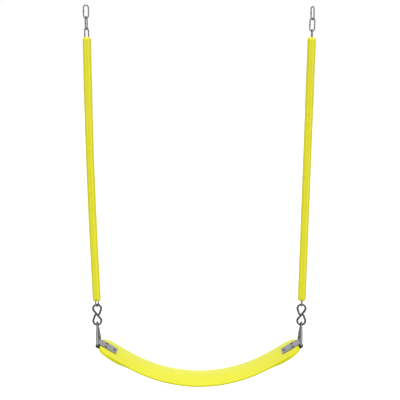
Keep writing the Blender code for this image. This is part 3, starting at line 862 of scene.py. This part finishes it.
# ---------------------------------------------------------------------------
# belt, brackets and rivets
# ---------------------------------------------------------------------------
def strip(stations, lengths, place, edge, edge_steps, y_of, mark_of, girth=1.0, drop=None):
    """A long flat bar with edges of radius edge. stations holds (at, half
    width, half thickness); place(at, y, n) gives world points, y_of(half
    width) the points across the flat, and drop(at, y) sinks both faces."""
    rings, marks = [], []
    bend = np.radians(np.linspace(90, 0, edge_steps + 1)[1:])
    for at, half_width, half_thick in stations:
        flat_y = y_of(half_width - edge)
        edge_y = half_width - edge + edge * np.cos(bend)
        edge_n = half_thick - edge + edge * np.sin(bend)
        upper_y = np.concatenate((-edge_y[::-1], flat_y, edge_y))
        upper_n = np.concatenate((edge_n[::-1], np.full(len(flat_y), half_thick), edge_n))
        if drop is not None:
            upper_n = upper_n - drop(at, upper_y)
        y = np.concatenate((upper_y, upper_y[::-1]))
        n = np.concatenate((upper_n, -upper_n[::-1]))
        rings.append(place(at, y, n))
        edge_share = ease(np.abs(y), half_width - edge * 0.9, half_width - edge * 0.2)
        marks.append(mark_of(at, y, n, edge_share))
    count = len(rings[0])
    faces, uvs = [], []
    for i in range(len(rings) - 1):
        u0, u1 = lengths[i] / 100, lengths[i + 1] / 100
        for k in range(count):
            after = (k + 1) % count
            here, there = i * count, (i + 1) * count
            faces.append((here + k, here + after, there + after, there + k))
            v0, v1 = k / count * girth, (k + 1) / count * girth
            uvs += [(u0, v0), (u0, v1), (u1, v1), (u1, v0)]
    for i in (0, len(rings) - 1):
        first, last = i * count, i * count + count - 1
        for k in range(count // 2 - 1):
            faces.append((first + k, first + k + 1, last - 1 - k, last - k))
            uvs += [(lengths[i] / 100, v / count * girth) for v in (k, k + 1, k + 1, k)]
    return np.concatenate(rings), faces, uvs, np.concatenate(marks)


def end_round(depth, full, radius):
    """Half size at this depth from a rounded-over end."""
    if depth >= radius:
        return full
    return full - radius + math.sqrt(max(0.0, radius**2 - (radius - depth) ** 2))


def in_end(side, along, across, up):
    """World points from distances inward along the belt from the triangle's
    bar, towards the back, and up from the belt's mid-plane."""
    bar, cos, sin = BAR[side], math.cos(END_SLOPE), math.sin(END_SLOPE)
    x = bar[0] - SIDES[side] * (cos * along + sin * up)
    return np.stack((x, bar[1] + across, bar[2] - sin * along + cos * up), -1)


def leaf_end(side):
    """How far the bracket's leaf reaches in from the bar, from its box."""
    low, high = node_box("end_bracket_" + side)
    inner_x = low[0] if side == "right" else -high[0]
    # the innermost point is the top leaf's upper edge
    return (BAR_X - math.sin(END_SLOPE) * LEAF_HIGH - inner_x) / math.cos(END_SLOPE)


BELT_EDGE_R = 2.3
SHOULDER = 44.0  # length over which the belt widens to its full width
END_HALF = 31.0
POCKET_HALF = BRACKET_HALF + 0.6
POCKET_CORNER_R = 2.6
POCKET_WALL = 0.35  # half the width of the slope at the pocket's edge
POCKET_ZONE = POCKET_HALF + 9.0  # half width with the closer lines of points


def belt_y(width):
    """Points across the belt, closer beside the pockets' edges."""
    plan = np.concatenate(
        (
            np.linspace(0, POCKET_HALF - 1.2, 14),
            np.linspace(POCKET_HALF - 1.0, POCKET_HALF + 1.0, 11),
            np.linspace(POCKET_HALF + 1.6, POCKET_ZONE, 6),
        )
    )
    if width < POCKET_ZONE:
        plan = plan * (width - 0.6) / POCKET_ZONE
    half = np.concatenate((plan, np.linspace(plan[-1], width, 12)[1:]))
    return np.concatenate((-half[::-1], half[1:]))


def belt_stations(leaf):
    """(x, half width, half thickness) from the right end to the left."""
    cos = math.cos(END_SLOPE)
    end_x = BAR_X - BELT_TO_BAR * cos
    depths = [BELT_EDGE_R * (1 - math.cos(t)) for t in np.radians(np.linspace(0, 90, 8))]
    depths += list(BELT_EDGE_R + (SHOULDER - BELT_EDGE_R) * np.linspace(0, 1, 34)[1:] ** 1.3)
    # closer stations where the pockets end
    pocket = leaf - BELT_TO_BAR
    depths += list(np.linspace(SHOULDER, pocket - 2.6, 6)[1:])
    depths += list(np.linspace(pocket - 2.6, pocket + 1.6, 26)[1:])
    right = []
    for depth in depths:
        width = BELT_HALF
        if depth < SHOULDER:
            share = (SHOULDER - depth) / SHOULDER
            width = END_HALF + (BELT_HALF - END_HALF) * math.sqrt(max(0.0, 1 - share * share))
        x = end_x - depth * cos
        right.append((x, width, end_round(depth, belt_thick(x) / 2, BELT_EDGE_R)))
    inner = right[-1][0]
    right += [(x, BELT_HALF, belt_thick(x) / 2) for x in np.linspace(inner, 0, 110)[1:]]
    return right + [(-x, width, thick) for x, width, thick in reversed(right[:-1])]


def belt():
    """One bent sheet with rounded edges, and in both faces of each end the
    shallow pocket that the bracket's leaf sits in."""
    leaf = leaf_end("right")
    pocket_end = leaf + 0.35

    def from_bar(x):
        return (BAR_X - abs(x)) / math.cos(END_SLOPE)

    def drop(x, y):
        past_y = np.maximum(np.abs(y) - (POCKET_HALF - POCKET_CORNER_R), 0)
        past_end = np.maximum(from_bar(x) - (pocket_end - POCKET_CORNER_R), 0)
        outside = np.hypot(past_y, past_end) - POCKET_CORNER_R
        return LEAF_RECESS * (1 - ease(outside, -POCKET_WALL, POCKET_WALL))

    def place(x, y, n):
        slope = math.atan(belt_slope(x)) * (1 if x >= 0 else -1)
        rise = n - belt_thick(x) / 2
        return np.stack((x - math.sin(slope) * rise, y, belt_top(x) + math.cos(slope) * rise), -1)

    def mark_of(x, y, n, edge_share):
        # painted shade along the edges, and on the top face round the bracket's pocket
        near = float(1 - ease(from_bar(x), leaf - 10, leaf + 26)) * (1 - ease(np.abs(y), 24, 50))
        return np.clip(0.5 * edge_share + 0.9 * near * (n > 0), 0, 1)

    stations = belt_stations(leaf)
    sheet = strip(
        stations,
        lengths=[station[0] for station in stations],
        place=place,
        edge=BELT_EDGE_R,
        edge_steps=8,
        y_of=belt_y,
        mark_of=mark_of,
        drop=drop,
    )
    finish(Shape().add(*sheet), "belt_sheet", "belt", "seat", "belt_seat")


KNUCKLE_R = 4.7  # inside radius of the fold
FOLD_STEPS = 56
LEAF_CORNER_R = 2.4
STRAP_EDGE_R = 0.55
CLEAR = 99.0  # depth given to points clear of the leaves' tips


def bracket_line(tip):
    """The strap at mid-thickness, from the top leaf's tip round the fold to
    the bottom leaf's: (along, up, depth from the tip) and outward normals."""
    radius = KNUCKLE_R + STRAP / 2
    start = math.degrees(math.asin(LEAF_MID / radius))
    stop = 360 - start
    fold = arc((0, 0), radius, start, stop, FOLD_STEPS)
    fold_start = fold[0][0]
    depths = [STRAP_EDGE_R * (1 - math.cos(t)) for t in np.radians(np.linspace(0, 90, 6))]
    depths += list(np.linspace(STRAP_EDGE_R, LEAF_CORNER_R, 7)[1:])
    depths += list(np.linspace(LEAF_CORNER_R, tip - fold_start - 6, 26)[1:])
    leaf = [(tip - depth, depth) for depth in depths]
    leaf += [(fold_start + gap, CLEAR) for gap in np.linspace(6, 0, 9)[1:-1]]
    line = [(along, LEAF_MID, depth) for along, depth in leaf]
    line += [(along, up, CLEAR) for along, up in fold]
    line += [(along, -LEAF_MID, depth) for along, depth in reversed(leaf)]

    # the leaves stay straight right up to the fold
    turns = np.radians(np.linspace(start, stop, FOLD_STEPS + 1))
    steps = np.arange(FOLD_STEPS + 1)
    tangent = np.stack((-np.sin(turns), np.cos(turns)), 1)
    straight = np.stack((np.where(steps < FOLD_STEPS / 2, -1.0, 1.0), np.zeros(len(steps))), 1)
    blend = np.minimum(1.0, np.minimum(steps, FOLD_STEPS - steps) / 5.0)[:, None]
    fold_way = tangent * blend + straight * (1 - blend)
    way = np.vstack(([(-1.0, 0.0)] * len(leaf), fold_way, [(1.0, 0.0)] * len(leaf)))
    way /= np.linalg.norm(way, axis=1)[:, None]
    return np.array(line), np.stack((way[:, 1], -way[:, 0]), 1)


def bracket(side):
    """One strap: top leaf, fold round the triangle's bar, bottom leaf."""
    node = "end_bracket_" + side
    low, high = node_box(node)
    half_width = (high[1] - low[1]) / 2
    line, out = bracket_line(leaf_end(side))
    middle = line[:, :2]
    stations = [
        (
            i,
            end_round(depth, half_width, LEAF_CORNER_R),
            end_round(depth, STRAP / 2, STRAP_EDGE_R),
        )
        for i, depth in enumerate(line[:, 2])
    ]

    def place(i, y, n):
        plane = middle[i] + out[i] * n[:, None]
        return in_end(side, plane[:, 0], y, plane[:, 1])

    def mark_of(i, y, n, edge_share):
        along, up, depth = line[i]
        # painted shade along the strap's edges and tips
        tip = float(1 - ease(depth, 0.0, 0.7))
        # painted shade: the fold is dark where it turns under the bar
        under = float(ease(-along, -1.5, 3.0)) * float(ease(-up, -3.0, 2.0))
        return np.maximum(np.maximum(edge_share, tip), 0.95 * under)

    steps = np.linalg.norm(np.diff(middle, axis=0), axis=1)
    strap = strip(
        stations,
        lengths=np.concatenate(([0.0], np.cumsum(steps))),
        place=place,
        edge=STRAP_EDGE_R,
        edge_steps=5,
        y_of=lambda width: np.linspace(-1, 1, 25) * width,
        mark_of=mark_of,
        girth=1.02,
    )
    finish(Shape().add(*strap), node + "_strap", "bracket", "seat", node)


# name: (inward from the triangle's bar, towards the back)
RIVETS = {"rear": (23.0, 17.5), "front": (23.0, -17.5), "inner": (51.3, 0.0)}
RIVET_TOP = LEAF_HIGH + 0.06
HEAD_R, HEAD_WALL, HEAD_DOME = 4.5, 0.22, 1.85
SHANK_R = 3.0
# (radius, depth below the shank) from the dimple in its end to its rim
RIVET_TAIL = [
    (0.25, 0.75), (1.0, 1.15), (1.5, 1.75), (2.6, 1.85),
    (3.5, 1.55), (4.0, 0.9), (4.15, 0.3), (4.1, 0.0),
]


def rivet(side, name):
    """Domed head on top, clinched tail under the lower leaf."""
    along, across = RIVETS[name]
    top, low = RIVET_TOP, -RIVET_TOP
    profile = [(radius, low - depth) for radius, depth in RIVET_TAIL]
    profile += [(SHANK_R, low), (SHANK_R, top), (HEAD_R, top), (HEAD_R, top + HEAD_WALL)]
    profile += [
        (HEAD_R * math.cos(t), top + HEAD_WALL + HEAD_DOME * math.sin(t))
        for t in np.radians(np.linspace(6, 82, 14))
    ]
    profile += [(0.35, top + 2.08)]
    sides = 40
    turn = 2 * np.pi * np.arange(sides) / sides
    cos, sin = np.cos(turn), np.sin(turn)
    rings = [
        in_end(side, along + radius * cos, across + radius * sin, np.full(sides, up))
        for radius, up in profile
    ]
    steps = np.hypot(*np.diff(np.array(profile), axis=0).T)
    lengths = np.concatenate(([0.0], np.cumsum(steps)))
    faces, uvs = ring_faces(len(profile), sides, False, lengths, girth=20.0)
    # painted shadow: the rims of head and tail, where they meet the leaves
    rim = [
        float((abs(up - top) < 0.3 or abs(up - low) < 0.35) and radius > 3.2)
        for radius, up in profile
    ]
    shape = Shape().add(np.concatenate(rings), faces, uvs, np.repeat(rim, sides))
    node = f"rivet_{side}_{name}"
    finish(shape, node + "_head", "rivet", "seat", node)


for side in SIDES:
    free_links(side)
    hidden_links(side)
    sleeve(side)
    s_hook(side)
    triangle(side)
    bracket(side)
    for name in RIVETS:
        rivet(side, name)
belt()


# ---------------------------------------------------------------------------
# floor, light and camera, in metres
# ---------------------------------------------------------------------------
FLOOR_REACH, FLOOR_HEIGHT = 60.0, -0.42
# strengths of what reflections see
REFLECT = {
    "right": 1.5, "left": 1.1, "above": 0.9, "below": 0.10,
    "front": 0.12, "backdrop": 0.55, "room": 0.06,
}
# strengths of the diffuse fill, from low and from high
FILL = {"below": 0.34, "above": 0.78}


def stage():
    mesh = bpy.data.meshes.new("floor")
    corners = [
        (x * FLOOR_REACH, y * FLOOR_REACH, FLOOR_HEIGHT)
        for x, y in ((-1, -1), (1, -1), (1, 1), (-1, 1))
    ]
    mesh.from_pydata(corners, [], [(0, 1, 2, 3)])
    floor = bpy.data.objects.new("floor", mesh)
    bpy.context.scene.collection.objects.link(floor)
    mat = Material("pale_floor", colour=(0.96, 0.96, 0.96), rough=0.9, metal=0.0)
    cloud = mat.noise(mat.coords(), scale=3.0, detail=3)
    base = mat.tone((0.975, 0.975, 0.975), (0.985, 0.985, 0.985), by=cloud, over=(0.3, 0.7))
    mat.feed("Base Color", base)
    mat.set("Specular IOR Level", 0.0)
    mesh.materials.append(mat.made)
    floor.visible_glossy = False
    floor.visible_diffuse = False


def lamp(name, power, angle, azimuth, elevation):
    """A soft sun: azimuth 0 shines from the camera's side, positive from the
    right. Angles are in degrees."""
    data = bpy.data.lights.new(name, "SUN")
    data.energy = power
    data.angle = math.radians(angle)
    obj = bpy.data.objects.new(name, data)
    turn, rise = math.radians(azimuth), math.radians(elevation)
    back = Vector(
        (math.sin(turn) * math.cos(rise), -math.cos(turn) * math.cos(rise), math.sin(rise))
    )
    obj.rotation_mode = "QUATERNION"
    obj.rotation_quaternion = (-back).to_track_quat("-Z", "Y")
    obj.location = back * 5
    obj.visible_glossy = False
    bpy.context.scene.collection.objects.link(obj)


def world():
    """White behind the swing, an even pale fill, and for reflections a studio
    with two tall soft boxes beside the camera and one overhead."""
    made = bpy.data.worlds.new("studio")
    bpy.context.scene.world = made
    made.use_nodes = True
    tree = made.node_tree
    tree.nodes.clear()
    new, link = tree.nodes.new, tree.links.new

    def calc(operation, one, two=0.0, three=0.0):
        node = new("ShaderNodeMath")
        node.operation = operation
        for socket, value in zip(node.inputs, (one, two, three)):
            if isinstance(value, (int, float)):
                socket.default_value = value
            else:
                link(value, socket)
        return node.outputs[0]

    def smooth_span(**ends):
        node = new("ShaderNodeMapRange")
        node.interpolation_type = "SMOOTHSTEP"
        for key, value in ends.items():
            node.inputs[key.replace("_", " ").title()].default_value = value
        return node

    def soft_box(value, middle, half, fade):
        """1 within half of the middle, falling to 0 over fade."""
        node = smooth_span(from_min=half + fade, from_max=half, to_min=0.0, to_max=1.0)
        link(calc("ABSOLUTE", calc("SUBTRACT", value, middle)), node.inputs["Value"])
        return node.outputs["Result"]

    coords = new("ShaderNodeTexCoord")
    parts = new("ShaderNodeSeparateXYZ")
    link(coords.outputs["Generated"], parts.inputs[0])
    x, y, height = parts.outputs
    azimuth = calc("ARCTAN2", x, calc("MULTIPLY", y, -1.0))

    def tall_box(degrees, half, fade):
        beside = soft_box(azimuth, middle=math.radians(degrees), half=half, fade=fade)
        return calc("MULTIPLY", beside, soft_box(height, middle=0.15, half=0.55, fade=0.2))

    right = tall_box(54, half=0.22, fade=0.16)
    left = tall_box(-42, half=0.16, fade=0.14)
    above = soft_box(height, middle=1.0, half=0.22, fade=0.20)
    below = soft_box(height, middle=-1.0, half=0.55, fade=0.3)
    front = soft_box(azimuth, middle=0.0, half=0.9, fade=0.8)
    # the pale backdrop behind the swing
    behind = calc("SUBTRACT", 1.0, soft_box(azimuth, middle=0.0, half=1.9, fade=0.6))
    backdrop = calc("MULTIPLY", behind, soft_box(height, middle=0.12, half=0.42, fade=0.25))
    light = calc("MULTIPLY", right, REFLECT["right"])
    others = {"left": left, "above": above, "below": below, "front": front, "backdrop": backdrop}
    for name, box in others.items():
        light = calc("MULTIPLY_ADD", box, REFLECT[name], light)
    light = calc("ADD", light, REFLECT["room"])

    fill = new("ShaderNodeBackground")
    fill.inputs["Color"].default_value = (1, 1, 1, 1)
    rise = smooth_span(from_min=-0.6, from_max=0.8, to_min=FILL["below"], to_max=FILL["above"])
    link(height, rise.inputs["Value"])
    link(rise.outputs["Result"], fill.inputs["Strength"])
    mirror = new("ShaderNodeBackground")
    link(light, mirror.inputs["Strength"])
    white = new("ShaderNodeBackground")
    white.inputs["Color"].default_value = (1, 1, 1, 1)
    white.inputs["Strength"].default_value = 1.0
    path = new("ShaderNodeLightPath")

    def choose(ray, otherwise, chosen):
        node = new("ShaderNodeMixShader")
        link(path.outputs[ray], node.inputs[0])
        link(otherwise.outputs[0], node.inputs[1])
        link(chosen.outputs[0], node.inputs[2])
        return node

    lit = choose("Is Glossy Ray", fill, mirror)
    seen = choose("Is Camera Ray", lit, white)
    out = new("ShaderNodeOutputWorld")
    link(seen.outputs[0], out.inputs["Surface"])


CAMERA_DISTANCE = 2.8
CAMERA_PITCH = math.radians(6.823)  # downward
AIM_SHIFT, AIM_HEIGHT = 0.0021, 0.5547  # right of the swing's middle, and up


def camera():
    """In front of the swing's middle, looking slightly down."""
    low, high = CAD_BOX
    aim = Vector(((low[0] + high[0]) / 2 + AIM_SHIFT, 0.0, AIM_HEIGHT))
    data = bpy.data.cameras.new("camera")
    data.lens = 84.0
    data.sensor_width = 36.0
    obj = bpy.data.objects.new("camera", data)
    back = Vector((0.0, -math.cos(CAMERA_PITCH), math.sin(CAMERA_PITCH)))
    obj.location = aim + CAMERA_DISTANCE * back
    obj.rotation_euler = (math.pi / 2 - CAMERA_PITCH, 0.0, 0.0)
    bpy.context.scene.collection.objects.link(obj)
    bpy.context.scene.camera = obj


stage()
world()
lamp("overhead", power=1.50, angle=70, azimuth=10, elevation=74)
lamp("front_right", power=0.50, angle=60, azimuth=42, elevation=18)
lamp("front_left", power=0.36, angle=60, azimuth=-48, elevation=16)

view = bpy.context.scene.view_settings
view.view_transform = "Standard"
view.look = "None"
view.exposure = 0.0
view.gamma = 1.0

camera()
